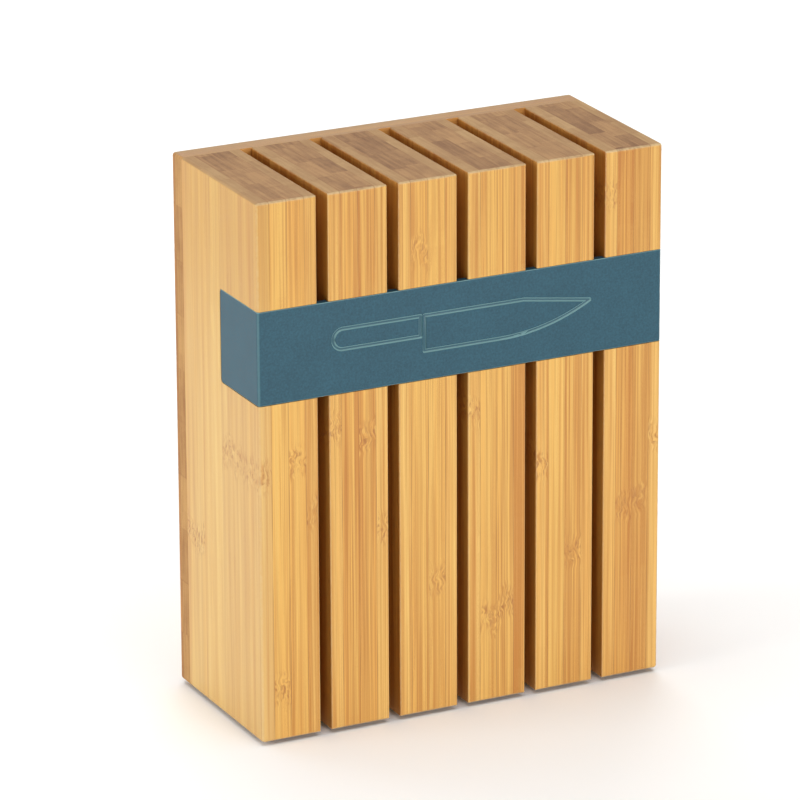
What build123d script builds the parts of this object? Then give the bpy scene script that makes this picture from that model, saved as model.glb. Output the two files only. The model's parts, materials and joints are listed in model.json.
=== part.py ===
from build123d import *
import os

# Bamboo knife block. Six laminated bars stand side by side on their ends, with
# a blade slot between each two. A board across the back joins them, and a
# moulded band wraps the front and both sides, sunk flush into the bamboo.
#
# Frame: the origin is under the middle of the block, on the surface that the
# feet stand on. +X is to the right, +Y to the back and +Z up. Millimetres.

# Bars and blade slots
BAR_COUNT = 6
OUTER_PLY = 5.1           # thickness of each bar's two face plies
CORE_PLY = 7.15           # thickness of each bar's two middle plies
SLOT_WIDTH = 4.6
BAR_DEPTH = 66.0
WOOD_HEIGHT = 213.6

# Back board: a row of lying staves, faced behind with one thin ply
STAVE_COUNT = 10
STAVE_HEIGHT = 21.7       # the top and bottom staves take what is left over
STAVE_THICKNESS = 6.0
REAR_PLY = 3.0

# Rounded edges of the bamboo
CORNER_RADIUS = 1.3       # the four upright outer corners
RIM_RADIUS = 1.2          # round the top and round the base
SLOT_EDGE_RADIUS = 0.7    # both edges of every slot

# Band
BAND_HEIGHT = 36.75
BAND_DROP = 42.1          # from the top of the bamboo to the band
BAND_THICKNESS = 3.0
BAND_WRAP = 33.0          # how far back each arm reaches from the front
BAND_INNER_RADIUS = 0.8   # the bend's inside
BAND_END_RADIUS = 1.5     # the corners of each arm's end
BAND_EDGE_RADIUS = 0.4    # the softened rim of the show face
BAND_GAP = 0.15           # all round the band in its recess

# Pressed outline of a kitchen knife on the front of the band
MOTIF_LENGTH = 108.0
MOTIF_BLADE_LENGTH = 70.0
MOTIF_BLADE_HEIGHT = 14.0
MOTIF_HANDLE_HEIGHT = 8.0
MOTIF_GROOVE_RADIUS = 0.85
MOTIF_GROOVE_DEPTH = 0.6

# Countersunk screws through the back board, two to a bar
SCREW_LENGTH = 30.0
SCREW_RADIUS = 2.0        # over the thread
SCREW_CORE_RADIUS = 1.35
SCREW_PITCH = 1.8
SCREW_HEAD_RADIUS = 3.9
SCREW_HEAD_HEIGHT = 2.6
SCREW_PLAIN_LENGTH = 10.0  # head and unthreaded neck together
SCREW_POINT_LENGTH = 3.0
SCREW_INSET = 32.0        # from the top and from the base of the bamboo
CROSS_LENGTH = 3.6
CROSS_WIDTH = 1.0
CROSS_DEPTH = 1.5

# Feet: soft discs in shallow seats under the two end bars
FOOT_RADIUS = 6.0
FOOT_THICKNESS = 2.5
FOOT_SEAT_DEPTH = 1.0
FOOT_EDGE_RADIUS = 0.6
FOOT_FRONT_INSET = 13.0   # from the front face to a front foot's centre
FOOT_BACK_INSET = 9.0     # from the back board to a back foot's centre

# Worked out from the sizes above
BAR_WIDTH = 2 * (OUTER_PLY + CORE_PLY)
BAR_PITCH = BAR_WIDTH + SLOT_WIDTH
BLOCK_WIDTH = BAR_COUNT * BAR_WIDTH + (BAR_COUNT - 1) * SLOT_WIDTH
BOARD_THICKNESS = STAVE_THICKNESS + REAR_PLY
BLOCK_DEPTH = BAR_DEPTH + BOARD_THICKNESS
LEFT = -BLOCK_WIDTH / 2
RIGHT = BLOCK_WIDTH / 2
FRONT = -BLOCK_DEPTH / 2
REAR = BLOCK_DEPTH / 2
BAR_BACK = FRONT + BAR_DEPTH
STAVE_BACK = BAR_BACK + STAVE_THICKNESS
BASE = FOOT_THICKNESS - FOOT_SEAT_DEPTH
TOP = BASE + WOOD_HEIGHT
BAND_TOP = TOP - BAND_DROP
BAND_BASE = BAND_TOP - BAND_HEIGHT
PAST = 5.0                # how far a cutter runs past what it cuts


def block(x0, x1, y0, y1, z0, z1):
    """A box between two opposite corners."""
    centre = Pos((x0 + x1) / 2, (y0 + y1) / 2, (z0 + z1) / 2)
    return centre * Box(x1 - x0, y1 - y0, z1 - z0)


def common(shape, cutter):
    """The one solid that two shapes share."""
    return Part((shape & cutter).solids()[0].wrapped)


def wood_envelope():
    """The outside of all the bamboo together, with its rounded edges."""
    shape = block(LEFT, RIGHT, FRONT, REAR, BASE, TOP)
    shape = fillet(shape.edges().filter_by(Axis.Z), CORNER_RADIUS)
    by_height = shape.faces().sort_by(Axis.Z)
    rims = by_height[0].edges() + by_height[-1].edges()
    return fillet(rims, RIM_RADIUS)


def bar_left(index):
    """X of a bar's left side."""
    return LEFT + index * BAR_PITCH


def bar_centre(index):
    """X of a bar's middle."""
    return bar_left(index) + BAR_WIDTH / 2


def bar(index, envelope):
    """One bar before it is divided into plies, with eased slot edges."""
    x0 = bar_left(index)
    x1 = x0 + BAR_WIDTH
    blank = block(x0, x1, FRONT, BAR_BACK, BASE, TOP)
    slot_sides = []
    if index > 0:
        slot_sides.append(blank.faces().sort_by(Axis.X)[0])
    if index < BAR_COUNT - 1:
        slot_sides.append(blank.faces().sort_by(Axis.X)[-1])
    eased = []
    for side in slot_sides:
        eased += [edge for edge in side.edges() if edge.center().Y < BAR_BACK - SLOT_EDGE_RADIUS]
    return common(envelope, fillet(eased, SLOT_EDGE_RADIUS))


def band_profile(outset, reach, end_radius, rise):
    """The band's U, looking down, drawn up between its lower and upper edge.

    outset moves the outer face out, reach is the arms' length, rise is added
    above and below, and end_radius rounds the corners of the arms' ends.
    """
    arm_end = FRONT + reach
    outer = block(LEFT - outset, RIGHT + outset, FRONT - outset, arm_end,
                  BAND_BASE - rise, BAND_TOP + rise)
    corners = outer.edges().filter_by(Axis.Z).group_by(Axis.Y)[0]
    outer = fillet(corners, CORNER_RADIUS + outset)
    ends = outer.edges().filter_by(Axis.X).group_by(Axis.Y)[-1]
    outer = fillet(ends, end_radius)
    inner = block(LEFT + BAND_THICKNESS, RIGHT - BAND_THICKNESS,
                  FRONT + BAND_THICKNESS, arm_end + PAST,
                  BAND_BASE - rise - PAST, BAND_TOP + rise + PAST)
    inner = fillet(inner.edges().filter_by(Axis.Z).group_by(Axis.Y)[0], BAND_INNER_RADIUS)
    return outer - inner


def band_recess():
    """What is routed out of the bars for the band."""
    return band_profile(PAST, BAND_WRAP + BAND_GAP, BAND_END_RADIUS + BAND_GAP, BAND_GAP)


def motif_paths():
    """The knife's handle and blade, as closed lines on the band's show face."""
    left = -MOTIF_LENGTH / 2
    right = MOTIF_LENGTH / 2
    heel = right - MOTIF_BLADE_LENGTH
    spine = MOTIF_BLADE_HEIGHT / 2
    edge = -MOTIF_BLADE_HEIGHT / 2
    handle_base = spine - MOTIF_HANDLE_HEIGHT
    handle_mid = (spine + handle_base) / 2
    gap = 2 * MOTIF_GROOVE_RADIUS
    handle_end = ThreePointArc((left + MOTIF_HANDLE_HEIGHT / 2, spine), (left, handle_mid),
                               (left + MOTIF_HANDLE_HEIGHT / 2, handle_base))
    handle = Wire([handle_end,
                   Line(handle_end @ 1, (heel - gap, handle_base)),
                   Line((heel - gap, handle_base), (heel - gap, spine)),
                   Line((heel - gap, spine), handle_end @ 0)])
    belly_start = (heel + MOTIF_BLADE_LENGTH * 0.45, edge)
    point = (right, spine - MOTIF_BLADE_HEIGHT * 0.3)
    belly = TangentArc(belly_start, point, tangent=(1, 0))
    blade = Wire([Line((heel, edge), belly_start), belly,
                  Line(point, (heel + MOTIF_BLADE_LENGTH * 0.6, spine)),
                  Line((heel + MOTIF_BLADE_LENGTH * 0.6, spine), (heel, spine)),
                  Line((heel, spine), (heel, edge))])
    return [handle, blade]


def motif_cutter():
    """Round-bottomed grooves that follow the motif's lines."""
    face_centre = (0, FRONT - MOTIF_GROOVE_RADIUS + MOTIF_GROOVE_DEPTH, (BAND_BASE + BAND_TOP) / 2)
    face = Plane(origin=face_centre, x_dir=(1, 0, 0), z_dir=(0, -1, 0))
    grooves = []
    for path in motif_paths():
        placed = face.from_local_coords(path)
        start = Plane(origin=placed @ 0, z_dir=placed % 0)
        grooves.append(sweep(start * Circle(MOTIF_GROOVE_RADIUS), path=placed,
                             transition=Transition.ROUND))
    return grooves


def show_face_rim(shape):
    """Edges round the band's outer face, without the seams at its bends."""
    rim = []
    for edge in shape.edges():
        middle = edge @ 0.5
        at_side = abs(abs(middle.X) - RIGHT) < 0.01
        at_front = abs(middle.Y - FRONT) < 0.01
        corner = Vector(RIGHT - CORNER_RADIUS, FRONT + CORNER_RADIUS, middle.Z)
        at_bend = abs((Vector(abs(middle.X), middle.Y, middle.Z) - corner).length - CORNER_RADIUS) < 0.01
        upright = edge.geom_type == GeomType.LINE and abs((edge % 0.5).Z) > 0.99
        seam = upright and middle.Y < FRONT + CORNER_RADIUS + 0.01
        if (at_side or at_front or at_bend) and not seam:
            rim.append(edge)
    return rim


def band():
    """The moulded band that wraps the front and both sides."""
    shape = band_profile(0, BAND_WRAP, BAND_END_RADIUS, 0)
    shape = fillet(show_face_rim(shape), BAND_EDGE_RADIUS)
    for groove in motif_cutter():
        shape = shape - groove
    return shape


def screw_places():
    """Where each screw's head meets the back: X and Z."""
    heights = (BASE + SCREW_INSET, TOP - SCREW_INSET)
    return [(bar_centre(index), z) for index in range(BAR_COUNT) for z in heights]


def along_screw(shape, x, z):
    """Stands a shape made along Z into the back, its top at the rear face."""
    return Pos(x, REAR, z) * Rot(-90, 0, 0) * shape


def countersink():
    """The cone that the head sits in."""
    half = SCREW_HEAD_HEIGHT / 2
    return Pos(0, 0, -half) * Cone(SCREW_CORE_RADIUS, SCREW_HEAD_RADIUS, SCREW_HEAD_HEIGHT)


def screw_hole():
    """What one screw takes out of the board and the bar."""
    shank = Pos(0, 0, -SCREW_LENGTH / 2) * Cylinder(SCREW_RADIUS, SCREW_LENGTH)
    return shank + countersink()


def screw():
    """One countersunk screw along Z, its head's top at the origin."""
    outline = [(0, 0), (SCREW_HEAD_RADIUS, 0), (SCREW_CORE_RADIUS, -SCREW_HEAD_HEIGHT),
               (SCREW_CORE_RADIUS, -SCREW_PLAIN_LENGTH)]
    thread_length = SCREW_LENGTH - SCREW_PLAIN_LENGTH - SCREW_POINT_LENGTH
    turns = int(thread_length / SCREW_PITCH)
    for turn in range(turns):
        top = -SCREW_PLAIN_LENGTH - turn * SCREW_PITCH
        outline.append((SCREW_RADIUS, top - SCREW_PITCH * 0.4))
        outline.append((SCREW_CORE_RADIUS, top - SCREW_PITCH * 0.8))
    outline += [(SCREW_CORE_RADIUS, -SCREW_LENGTH + SCREW_POINT_LENGTH), (0, -SCREW_LENGTH)]
    half_section = make_face(Polyline(*outline, close=True))
    body = revolve(Plane.XZ * half_section, Axis.Z)
    for angle in (0, 90):
        body = body - Rot(0, 0, angle) * Box(CROSS_LENGTH, CROSS_WIDTH, 2 * CROSS_DEPTH)
    return body


def foot_places():
    """Name, X and Y of each foot."""
    x = bar_centre(BAR_COUNT - 1)
    front = FRONT + FOOT_FRONT_INSET
    back = BAR_BACK - FOOT_BACK_INSET
    return [("foot_front_left", -x, front), ("foot_front_right", x, front),
            ("foot_back_left", -x, back), ("foot_back_right", x, back)]


def foot(x, y):
    """One soft disc, with its lower rim rounded."""
    disc = Pos(x, y, FOOT_THICKNESS / 2) * Cylinder(FOOT_RADIUS, FOOT_THICKNESS)
    return fillet(disc.edges().sort_by(Axis.Z)[0], FOOT_EDGE_RADIUS)


def foot_seats():
    """Shallow round seats in the base, one for each foot."""
    depth = FOOT_THICKNESS + PAST
    seat = Cylinder(FOOT_RADIUS, depth)
    return [Pos(x, y, FOOT_THICKNESS - depth / 2) * seat for _, x, y in foot_places()]


def bar_plies(index, envelope, recess, holes, seats):
    """The four plies of one bar, by name."""
    names = ("left_face_ply", "left_core_ply", "right_core_ply", "right_face_ply")
    widths = (OUTER_PLY, CORE_PLY, CORE_PLY, OUTER_PLY)
    whole = bar(index, envelope) - recess
    for cutter in holes + seats:
        whole = whole - cutter
    plies = {}
    x0 = bar_left(index)
    for name, width in zip(names, widths):
        slice_box = block(x0, x0 + width, FRONT - PAST, BAR_BACK + PAST, BASE - PAST, TOP + PAST)
        plies[f"bar_{index + 1}_{name}"] = common(whole, slice_box)
        x0 += width
    return plies


def back_board(envelope, holes):
    """The staves and the thin ply behind them, by name."""
    end_height = (WOOD_HEIGHT - (STAVE_COUNT - 2) * STAVE_HEIGHT) / 2
    pieces = {}
    z0 = BASE
    for number in range(1, STAVE_COUNT + 1):
        at_end = number in (1, STAVE_COUNT)
        height = end_height if at_end else STAVE_HEIGHT
        stave = common(envelope, block(LEFT - PAST, RIGHT + PAST, BAR_BACK, STAVE_BACK, z0, z0 + height))
        for hole in holes:
            stave = stave - hole
        pieces[f"back_stave_{number:02d}"] = stave
        z0 += height
    ply = common(envelope, block(LEFT - PAST, RIGHT + PAST, STAVE_BACK, REAR, BASE, TOP))
    for hole in holes:
        ply = ply - hole
    pieces["back_rear_ply"] = ply
    return pieces


def knife_block():
    """Every piece of the block, by name."""
    envelope = wood_envelope()
    recess = band_recess()
    holes = [along_screw(screw_hole(), x, z) for x, z in screw_places()]
    seats = foot_seats()
    pieces = {}
    for index in range(BAR_COUNT):
        near = [hole for hole, (x, _) in zip(holes, screw_places()) if abs(x - bar_centre(index)) < 1]
        pieces.update(bar_plies(index, envelope, recess, near, seats))
    pieces.update(back_board(envelope, holes))
    pieces["front_band"] = band()
    pieces["back_screws"] = Compound([along_screw(screw(), x, z) for x, z in screw_places()])
    for name, x, y in foot_places():
        pieces[name] = foot(x, y)
    return pieces


os.makedirs("parts", exist_ok=True)
for piece_name, piece in knife_block().items():
    export_step(piece, f"parts/{piece_name}.step")
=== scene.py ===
"""Looks of an upright bamboo knife block: laminated bars, a staved back board and a moulded band.

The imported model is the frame. Every wooden piece and the band take their shape from it and get
clean shading, per-piece grain data and a finish. The screws and the feet are laid out by
Geometry Nodes. Lengths are metres unless a name ends in _mm.
"""

from __future__ import annotations

import json
import logging
import math
from collections.abc import Callable
from dataclasses import dataclass, field, replace
from enum import Enum
from functools import partial

import bmesh
import bpy
from bpy.types import Material, Mesh, Node, NodeOutputs, NodeSocket, NodeTree, Object
from mathutils import Matrix, Vector

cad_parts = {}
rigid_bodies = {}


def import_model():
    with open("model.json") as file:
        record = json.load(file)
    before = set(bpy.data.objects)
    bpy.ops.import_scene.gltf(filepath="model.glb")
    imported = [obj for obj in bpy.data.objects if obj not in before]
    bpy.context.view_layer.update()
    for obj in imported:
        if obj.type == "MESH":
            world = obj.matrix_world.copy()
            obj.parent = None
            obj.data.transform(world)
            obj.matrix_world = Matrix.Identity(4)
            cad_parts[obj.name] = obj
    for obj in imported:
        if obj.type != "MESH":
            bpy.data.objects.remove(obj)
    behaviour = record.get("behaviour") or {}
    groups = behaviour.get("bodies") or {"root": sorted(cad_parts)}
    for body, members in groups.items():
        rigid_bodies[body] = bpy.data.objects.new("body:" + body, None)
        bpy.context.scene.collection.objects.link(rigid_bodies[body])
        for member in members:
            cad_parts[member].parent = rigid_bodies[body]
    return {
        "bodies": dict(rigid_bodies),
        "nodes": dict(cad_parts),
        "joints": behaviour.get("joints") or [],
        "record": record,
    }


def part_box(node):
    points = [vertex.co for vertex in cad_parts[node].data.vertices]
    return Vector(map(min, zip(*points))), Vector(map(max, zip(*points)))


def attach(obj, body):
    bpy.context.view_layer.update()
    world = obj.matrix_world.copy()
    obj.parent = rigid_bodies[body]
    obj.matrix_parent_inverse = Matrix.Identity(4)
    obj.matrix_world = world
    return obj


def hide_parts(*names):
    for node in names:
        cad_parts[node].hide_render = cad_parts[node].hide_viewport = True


log = logging.getLogger("knife_block")

MM = 0.001
BODY = "root"
Socket = NodeSocket | Node
Sockets = dict[str, Socket]

# The node kinds used most. A mix node takes two values at its inputs 2 and 3, or two colours at 6
# and 7.
MATH = "ShaderNodeMath"
VECTOR_MATH = "ShaderNodeVectorMath"
MIX = "ShaderNodeMix"
MAP_RANGE = "ShaderNodeMapRange"
NOISE = "ShaderNodeTexNoise"
SEPARATE = "ShaderNodeSeparateXYZ"
COMBINE = "ShaderNodeCombineXYZ"
ATTRIBUTE = "ShaderNodeAttribute"


# === Small helpers ===


def linear_colour(code: str) -> tuple[float, float, float, float]:
    """Turns an sRGB hex code into a linear colour.

    Args:
        code: Six hex digits, such as "E6BA72".

    Returns:
        Red, green, blue and an alpha of 1, linear.
    """
    channels = [int(code[at : at + 2], 16) / 255 for at in (0, 2, 4)]
    red, green, blue = (c / 12.92 if c <= 0.04045 else ((c + 0.055) / 1.055) ** 2.4 for c in channels)
    return red, green, blue, 1.0


def add_node(
    tree: NodeTree, kind: str, inputs: dict[str | int, object] | None = None, **settings: object
) -> Node:
    """Adds a node, sets its properties and fills or links its inputs.

    Args:
        tree: The node tree to add to.
        kind: The node's type name.
        inputs: Socket name or number to a value, or to a socket or a node to link from. A node stands
            for the first output that it has in use, and a colour is given as its hex code.
        **settings: Properties of the node itself, such as operation.

    Returns:
        The new node.
    """
    node = tree.nodes.new(kind)
    for name, value in settings.items():
        setattr(node, name, value)
    for name, value in (inputs or {}).items():
        socket = node.inputs[name]
        if isinstance(value, Node):
            value = next(output for output in value.outputs if output.enabled)
        if isinstance(value, NodeSocket):
            tree.links.new(value, socket)
        elif isinstance(value, str) and socket.type == "RGBA":
            socket.default_value = linear_colour(value)
        else:
            socket.default_value = value
    return node


def new_material(name: str) -> tuple[Material, NodeTree]:
    """Makes a material with an empty node tree.

    Args:
        name: The material's name.

    Returns:
        The material and its tree.
    """
    material = bpy.data.materials.new(name)
    material.use_nodes = True
    material.node_tree.nodes.clear()
    return material, material.node_tree


def new_tree(name: str, sockets: dict[str, tuple[str, object]]) -> NodeTree:
    """Starts a Geometry Nodes tree with a geometry input and output.

    Args:
        name: The tree's name.
        sockets: Input name to its socket type and default value.

    Returns:
        The empty tree, with its group input and output nodes in place.
    """
    tree = bpy.data.node_groups.new(name, "GeometryNodeTree")
    tree.interface.new_socket("Geometry", in_out="INPUT", socket_type="NodeSocketGeometry")
    for label, (kind, value) in sockets.items():
        socket = tree.interface.new_socket(label, in_out="INPUT", socket_type=kind)
        if value is not None:
            socket.default_value = value
    tree.interface.new_socket("Geometry", in_out="OUTPUT", socket_type="NodeSocketGeometry")
    return tree


def end_tree(tree: NodeTree, shape: Socket, given: NodeOutputs) -> None:
    """Ends a tree: smooth shading broken at creases, then one mesh with its material.

    Args:
        tree: The tree to end.
        shape: The geometry so far.
        given: The outputs of the tree's input node, with Crease and Finish among them.
    """
    add = partial(add_node, tree)
    angle = add("GeometryNodeInputMeshEdgeAngle")
    sharp = add("FunctionNodeCompare", {0: angle, 1: given["Crease"]}, operation="GREATER_THAN")
    shape = add("GeometryNodeSetShadeSmooth", {"Geometry": shape, "Shade Smooth": True}, domain="FACE")
    shape = add("GeometryNodeSetShadeSmooth", {"Geometry": shape, "Selection": sharp, "Shade Smooth": False},
                domain="EDGE")
    shape = add("GeometryNodeRealizeInstances", {0: shape})
    shape = add("GeometryNodeSetMaterial", {"Geometry": shape, "Material": given["Finish"]})
    add("NodeGroupOutput", {0: shape})


def run_tree(obj: Object, tree: NodeTree, values: dict[str, object]) -> Mesh:
    """Runs a Geometry Nodes tree on an object and returns the plain mesh it makes.

    Args:
        obj: The object that the tree starts from. It keeps no modifier.
        tree: The tree to run.
        values: Input name to its value.

    Returns:
        A new mesh.
    """
    modifier = obj.modifiers.new(tree.name, "NODES")
    modifier.node_group = tree
    for item in tree.interface.items_tree:
        if item.in_out == "INPUT" and item.name in values:
            modifier[item.identifier] = values[item.name]
    obj.update_tag()
    depsgraph = bpy.context.evaluated_depsgraph_get()
    mesh = bpy.data.meshes.new_from_object(obj.evaluated_get(depsgraph), depsgraph=depsgraph)
    obj.modifiers.remove(modifier)
    return mesh


def link_object(name: str, mesh: Mesh) -> Object:
    """Makes an object of a mesh, at the origin, in the scene.

    Args:
        name: The name of the object and of its mesh.
        mesh: The mesh.

    Returns:
        The object.
    """
    mesh.name = name
    obj = bpy.data.objects.new(name, mesh)
    bpy.context.scene.collection.objects.link(obj)
    return obj


def drop_object(obj: Object) -> None:
    """Removes a helper object and its mesh.

    Args:
        obj: The object.
    """
    mesh = obj.data
    bpy.data.objects.remove(obj)
    bpy.data.meshes.remove(mesh)


def plain_mesh(name: str, shape: bmesh.types.BMesh) -> Mesh:
    """Turns a working shape into a mesh and frees it.

    Args:
        name: The mesh's name.
        shape: The working shape.

    Returns:
        The mesh.
    """
    mesh = bpy.data.meshes.new(name)
    shape.to_mesh(mesh)
    shape.free()
    return mesh


def lathe(name: str, profile: list[tuple[float, float]], segments: int) -> Mesh:
    """Turns a profile about Z into a closed mesh.

    Args:
        name: The mesh's name.
        profile: Radius and height, from the top's middle to the bottom's middle.
        segments: How many faces go round.

    Returns:
        The mesh, with outward normals.
    """
    shape = bmesh.new()
    rings = []
    for radius, height in profile:
        if radius == 0:
            rings.append([shape.verts.new((0, 0, height))])
            continue
        turns = [2 * math.pi * step / segments for step in range(segments)]
        rings.append([shape.verts.new((radius * math.cos(a), radius * math.sin(a), height)) for a in turns])
    for upper, lower in zip(rings, rings[1:]):
        for step in range(segments):
            after = (step + 1) % segments
            corners = [upper[step % len(upper)], lower[step % len(lower)],
                       lower[after % len(lower)], upper[after % len(upper)]]
            shape.faces.new(list(dict.fromkeys(corners)))
    bmesh.ops.recalc_face_normals(shape, faces=shape.faces)
    return plain_mesh(name, shape)


# === Finishes ===


class Grain(Enum):
    """Which way a wooden piece's fibres run, as (through, strip, fibre) axes.

    Through is the ply's thickness, strip the direction its strips are laid side by side in.
    """

    UPRIGHT = ("X", "Y", "Z")
    LYING = ("Y", "Z", "X")


AXIS_VECTOR = {"X": (1, 0, 0), "Y": (0, 1, 0), "Z": (0, 0, 1)}


@dataclass
class BambooFinish:
    """Carbonised strip bamboo, planed, sanded and wiped with clear oil.

    The planed faces show straight fibres 1 to 3 mm apart and a brown knuckle where a culm's joint
    was. Sawn ends show the cut fibres as dull speckle, and every glue joint as a hairline.
    """

    name: str
    grain: Grain
    pale: str
    deep: str
    line: str
    end_pale: str
    end_deep: str
    strip_mm: float
    strip_start_mm: float
    reach_mm: tuple[float, float] = (0.0, 216.0)
    broad: str = "ECD9C2"
    edge: str = "FFFFFF"
    knuckle: str = "A2642B"
    glue: str = "86501F"
    rim_wear_and_highlight: str = "D6BE92"
    tone_spread: float = 0.5
    contrast: float = 1.0
    line_depth: float = 0.6
    glue_mm: float = 0.24
    painted_top_shade: float = 0.0
    knuckle_half_mm: float = 9.0
    knuckle_step_mm: float = -54.0
    add: Callable[..., Node] = field(init=False)
    place: Sockets = field(init=False)
    strip: Sockets = field(init=False)

    def build(self) -> Material:
        """Makes the material.

        Returns:
            A material that reads Object coordinates and the piece's seed, across and knuckle data.
        """
        material, tree = new_material(self.name)
        self.add = add = partial(add_node, tree)
        self.place = self._place()
        self.strip = self._strip()
        face_colour, relief = self._planed_face(self._knuckle())
        ends = self._end_mask()
        end_colour, end_relief = self._sawn_end()
        colour = add(MIX, {"Factor": ends, 6: face_colour, 7: end_colour}, data_type="RGBA")
        colour = self._glue_lines(ends, self._rim_wear_and_highlight(colour))
        height = add(MIX, {"Factor": ends, 2: relief, 3: end_relief})
        bump = add("ShaderNodeBump", {"Height": height, "Strength": 0.35, "Distance": 0.12 * MM})
        roughness = add(MAP_RANGE, {"Value": ends, "To Min": 0.46, "To Max": 0.8})
        shader = add("ShaderNodeBsdfPrincipled",
                     {"Base Color": colour, "Roughness": roughness, "Normal": bump,
                      "Specular IOR Level": 0.5, "IOR": 1.5})
        add("ShaderNodeOutputMaterial", {"Surface": shader})
        return material

    def _place(self) -> Sockets:
        """Where a point is, in millimetres along each of the grain's axes.

        Returns:
            Sockets named through, strip, fibre, normal and seed.
        """
        add = self.add
        source = add("ShaderNodeTexCoord")
        scaled = add(VECTOR_MATH, {0: source.outputs["Object"], "Scale": 1 / MM}, operation="SCALE")
        parts = add(SEPARATE, {0: scaled})
        through, strip, fibre = (parts.outputs[axis] for axis in self.grain.value)
        seed = add(ATTRIBUTE, attribute_name="seed").outputs["Fac"]
        return {"through": through, "strip": strip, "fibre": fibre,
                "normal": source.outputs["Normal"], "seed": seed}

    def _spot(self, *names: str) -> Socket:
        """Three of the sockets of _place as one vector."""
        return self.add(COMBINE, {number: self.place[name] for number, name in enumerate(names)})

    def _strip(self) -> Sockets:
        """Which strip of the ply a point is on, and that strip's own random numbers.

        Returns:
            Sockets named index, edge_mm, tone and shift.
        """
        add = self.add
        stagger = add(ATTRIBUTE, attribute_name="stagger").outputs["Fac"]
        moved = add(MATH, {0: self.place["strip"], 1: stagger}, operation="SUBTRACT")
        moved = add(MATH, {0: moved, 1: self.strip_start_mm}, operation="SUBTRACT")
        ratio = add(MATH, {0: moved, 1: self.strip_mm}, operation="DIVIDE")
        index = add(MATH, {0: ratio}, operation="FLOOR")
        part = add(MATH, {0: ratio}, operation="FRACT")
        to_edge = add(MATH, {0: part, 1: 0.5}, operation="SUBTRACT")
        to_edge = add(MATH, {0: to_edge}, operation="ABSOLUTE")
        to_edge = add(MATH, {0: 0.5, 1: to_edge}, operation="SUBTRACT")
        edge_mm = add(MATH, {0: to_edge, 1: self.strip_mm}, operation="MULTIPLY")
        key = add(COMBINE, {0: index, 1: self.place["seed"]})
        random = add("ShaderNodeTexWhiteNoise", {"Vector": key}, noise_dimensions="2D")
        return {"index": index, "edge_mm": edge_mm, "tone": random, "shift": random.outputs["Color"]}

    def _knuckle(self) -> Socket:
        """How near a point is to its strip's knuckle, 1 on it and 0 well away.

        Returns:
            A mask.
        """
        add = self.add
        heights = add(SEPARATE, {0: add(ATTRIBUTE, attribute_name="knuckles").outputs["Vector"]})
        height = heights
        for number in (1, 2):
            here = add(MATH, {0: self.strip["index"], 1: number + 0.5}, operation="GREATER_THAN")
            height = add(MIX, {"Factor": here, 2: height, 3: heights.outputs[number]})
        # Past the third strip the knuckles step down the ply and come in again at its far end.
        step = add(MATH, {0: self.strip["index"], 1: 2.0}, operation="SUBTRACT")
        further = add(MATH, {0: step, 1: self.knuckle_step_mm, 2: height}, operation="MULTIPLY_ADD")
        further = add(MATH, {0: further, 1: self.reach_mm[1], 2: self.reach_mm[0]}, operation="WRAP")
        beyond = add(MATH, {0: step, 1: 0.5}, operation="GREATER_THAN")
        height = add(MIX, {"Factor": beyond, 2: height, 3: further})
        spot = self._spot("through", "strip", "seed")
        half = self.knuckle_half_mm
        wander = add(NOISE, {"Vector": spot, "Scale": 0.13, "Detail": 1.0})
        drift = add(MAP_RANGE, {"Value": wander, "To Min": -half, "To Max": half})
        away = add(MATH, {0: self.place["fibre"], 1: height}, operation="SUBTRACT")
        away = add(MATH, {0: away, 1: drift}, operation="ADD")
        away = add(MATH, {0: away}, operation="ABSOLUTE")
        return add(MAP_RANGE,
                   {"Value": away, "From Min": half, "From Max": 1.0, "To Min": 0.0, "To Max": 1.0},
                   interpolation_type="SMOOTHSTEP")

    def _planed_face(self, knuckle: Socket) -> tuple[Socket, Socket]:
        """Colour and relief of the faces that run with the fibres.

        Args:
            knuckle: The knuckle mask.

        Returns:
            A colour and a height between 0 and 1.
        """
        add = self.add
        spot = self._spot("through", "strip", "fibre")
        swirl = add(NOISE, {"Vector": spot, "Scale": 0.22, "Detail": 1.0})
        bend = add(MATH, {0: swirl, 1: 0.5}, operation="SUBTRACT")
        bend = add(MATH, {0: bend, 1: knuckle}, operation="MULTIPLY")
        bend = add(COMBINE, {0: bend, 1: bend})
        spot = add(VECTOR_MATH, {0: bend, 1: (6.0, 6.0, 0.0), 2: spot}, operation="MULTIPLY_ADD")
        own = add(VECTOR_MATH, {0: self.strip["shift"], "Scale": 180.0}, operation="SCALE")
        spot = add(VECTOR_MATH, {0: spot, 1: own}, operation="ADD")

        # Bundles about 4 mm, 1 mm and 0.4 mm across on a ply's edge, twice that on its broad face,
        # and 60 to 200 times as long.
        mixed = 0.5
        noises = []
        for across, along, detail, weight in ((0.25, 0.003, 2.0, 1.2), (1.0, 0.006, 2.0, 2.3),
                                              (2.4, 0.02, 1.0, 1.4)):
            at = add(VECTOR_MATH, {0: spot, 1: (across, 0.35 * across, along)}, operation="MULTIPLY")
            noise = add(NOISE, {"Vector": at, "Scale": 1.0, "Detail": detail})
            noises.append(noise)
            swing = add(MATH, {0: noise, 1: 0.5}, operation="SUBTRACT")
            mixed = add(MATH, {0: swing, 1: weight * self.contrast, 2: mixed}, operation="MULTIPLY_ADD")
        tone = add(MAP_RANGE,
                   {"Value": self.strip["tone"], "To Min": -self.tone_spread, "To Max": self.tone_spread})
        mixed = add(MATH, {0: mixed, 1: tone}, operation="ADD")
        colour = add(MIX, {"Factor": mixed, 6: self.pale, 7: self.deep}, data_type="RGBA")

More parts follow.
